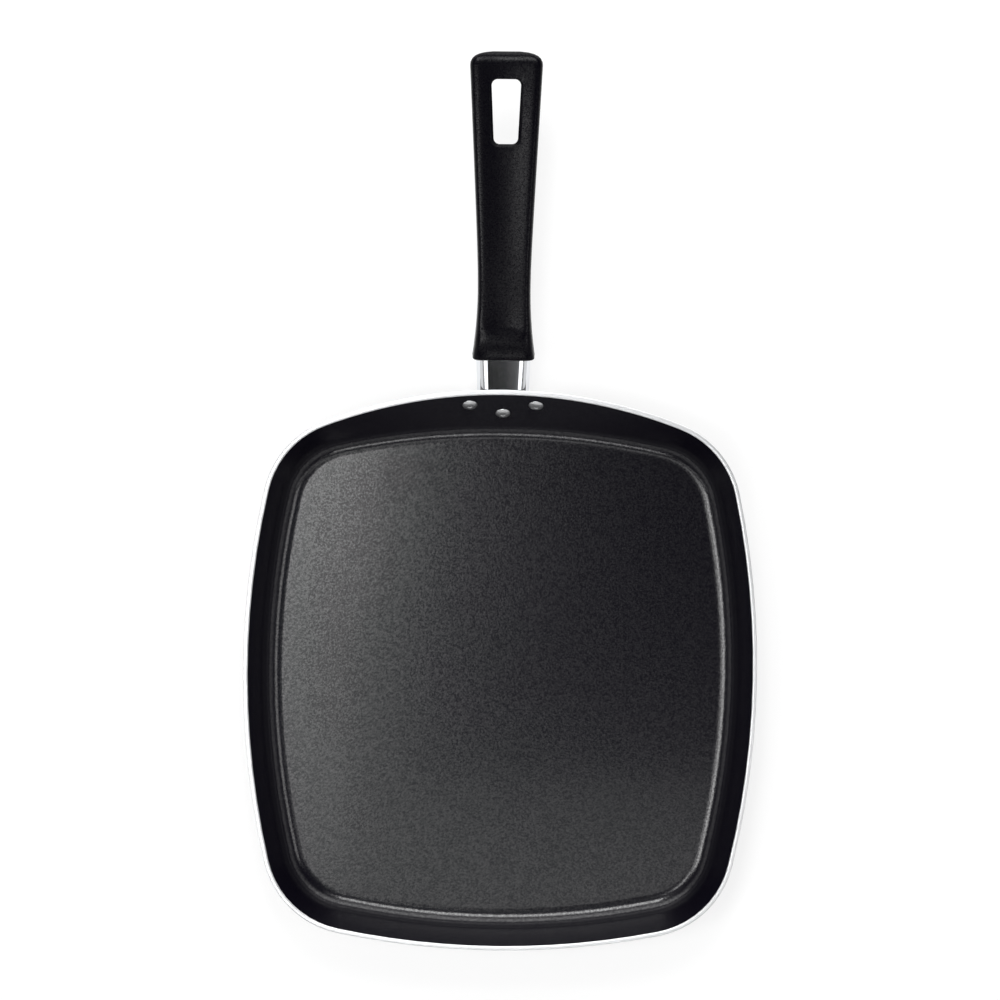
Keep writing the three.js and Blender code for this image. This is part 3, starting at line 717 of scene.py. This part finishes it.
class GRILLPAN_OT_stage(bpy.types.Operator):
    """Set the floor, the light and the camera above the pan"""

    bl_idname = "grill_pan.stage"
    bl_label = "Stage"

    def execute(self, context):
        settings = context.scene.grill_pan_stage
        self.add_floor()
        self.add_tent(context.scene)
        for name, box in SOFT_BOXES.items():
            self.add_soft_box(name, *box)
        bpy.ops.object.select_all(action="DESELECT")
        bpy.ops.object.camera_add(
            location=(*CAMERA_POINT, settings.camera_height), rotation=(0, 0, settings.camera_roll),
        )
        camera = context.object
        camera.name = "camera"
        camera.data.lens = settings.lens
        context.scene.camera = camera
        context.scene.view_settings.view_transform = "Standard"
        return {"FINISHED"}

    @staticmethod
    def add_floor():
        """White paper that shows the light on it, brighter for the camera and for reflections."""
        bpy.ops.object.select_all(action="DESELECT")
        bpy.ops.mesh.primitive_plane_add(size=FLOOR_SIZE)
        floor = bpy.context.object
        floor.name = "floor"
        material, tree, surface, _ = new_material("white_paper", colours().floor, roughness=0.9)
        rays = add_node(tree, "ShaderNodeLightPath")
        seen = add_node(tree, "ShaderNodeMath", {
            0: rays.outputs["Is Camera Ray"], 1: rays.outputs["Is Glossy Ray"],
        }, operation="MAXIMUM")
        seen = add_node(tree, "ShaderNodeMath", {
            0: seen.outputs["Value"], 1: rays.outputs["Is Transmission Ray"],
        }, operation="MAXIMUM")
        lift = add_node(tree, "ShaderNodeMath", {
            0: seen.outputs["Value"], 1: PAPER_LIFT,
        }, operation="MULTIPLY")
        surface.inputs["Emission Color"].default_value = (1, 1, 1, 1)
        tree.links.new(lift.outputs["Value"], surface.inputs["Emission Strength"])
        floor.data.materials.append(material)

    @staticmethod
    def add_tent(scene):
        """A white tent all round, with a dark opening overhead, and brighter behind the handle."""
        world = bpy.data.worlds.new("tent")
        world.use_nodes = True
        tree = world.node_tree
        direction = add_node(tree, "ShaderNodeTexCoord").outputs["Generated"]
        towards = add_node(tree, "ShaderNodeSeparateXYZ", {"Vector": direction})
        opening = add_node(tree, "ShaderNodeMapRange", {
            "Value": towards.outputs["Z"], "From Min": OPENING_HEIGHTS[0], "From Max": OPENING_HEIGHTS[1],
            "To Min": TENT_WALL, "To Max": TENT_OPENING,
        }, interpolation_type="SMOOTHSTEP")
        behind = add_node(tree, "ShaderNodeMapRange", {
            "Value": towards.outputs["Y"], "From Min": BEHIND_REACHES[0], "From Max": BEHIND_REACHES[1],
            "To Min": 1.0, "To Max": BEHIND_TIMES,
        }, interpolation_type="SMOOTHSTEP")
        tree.links.new(opening.outputs["Result"], tree.nodes["Background"].inputs["Color"])
        tree.links.new(behind.outputs["Result"], tree.nodes["Background"].inputs["Strength"])
        scene.world = world

    @staticmethod
    def add_soft_box(name, left, right, near, far, near_level, far_level):
        """A soft box that looks down, with a brightness that changes from its near to its far edge."""
        settings = bpy.context.scene.grill_pan_stage
        bpy.ops.object.select_all(action="DESELECT")
        place = ((left + right) / 2, (near + far) / 2, settings.box_height)
        bpy.ops.object.light_add(type="AREA", location=place)
        box = bpy.context.object
        box.name = name
        box.visible_camera = False
        box.data.shape = "RECTANGLE"
        box.data.size = right - left
        box.data.size_y = far - near
        box.data.energy = math.pi * box.data.size * box.data.size_y * settings.box_level
        box.data.use_nodes = True
        tree = box.data.node_tree
        point = add_node(tree, "ShaderNodeNewGeometry").outputs["Position"]
        level = add_node(tree, "ShaderNodeMapRange", {
            "Value": add_node(tree, "ShaderNodeSeparateXYZ", {"Vector": point}).outputs["Y"],
            "From Min": near, "From Max": far, "To Min": near_level, "To Max": far_level,
        })
        tree.links.new(level.outputs["Result"], tree.nodes["Emission"].inputs["Strength"])


class GRILLPAN_PT_panel(bpy.types.Panel):
    """The pan's pieces, sizes, colours and stage"""

    bl_idname = "GRILLPAN_PT_panel"
    bl_label = "Grill Pan"
    bl_space_type = "VIEW_3D"
    bl_region_type = "UI"
    bl_category = "Grill Pan"

    def draw(self, context):
        layout = self.layout
        for operator in OPERATORS:
            layout.operator(operator.bl_idname)
        for group in (sizes(), colours(), context.scene.grill_pan_stage):
            box = layout.box()
            for name in group.__annotations__:
                box.prop(group, name)


OPERATORS = (
    GRILLPAN_OT_pan,
    GRILLPAN_OT_bracket,
    GRILLPAN_OT_ferrule,
    GRILLPAN_OT_rivets,
    GRILLPAN_OT_grip,
    GRILLPAN_OT_fasteners,
    GRILLPAN_OT_stage,
)
CLASSES = (GrillPanSizes, GrillPanColours, GrillPanStage, *OPERATORS, GRILLPAN_PT_panel)


def register():
    for cls in CLASSES:
        bpy.utils.register_class(cls)
    bpy.types.Scene.grill_pan_sizes = PointerProperty(type=GrillPanSizes)
    bpy.types.Scene.grill_pan_colours = PointerProperty(type=GrillPanColours)
    bpy.types.Scene.grill_pan_stage = PointerProperty(type=GrillPanStage)


def unregister():
    del bpy.types.Scene.grill_pan_stage
    del bpy.types.Scene.grill_pan_colours
    del bpy.types.Scene.grill_pan_sizes
    for cls in reversed(CLASSES):
        bpy.utils.unregister_class(cls)


def main():
    register()
    bpy.ops.grill_pan.pan()
    bpy.ops.grill_pan.bracket()
    bpy.ops.grill_pan.ferrule()
    bpy.ops.grill_pan.rivets()
    bpy.ops.grill_pan.grip()
    bpy.ops.grill_pan.fasteners()
    bpy.ops.grill_pan.stage()


if __name__ == "__main__":
    main()
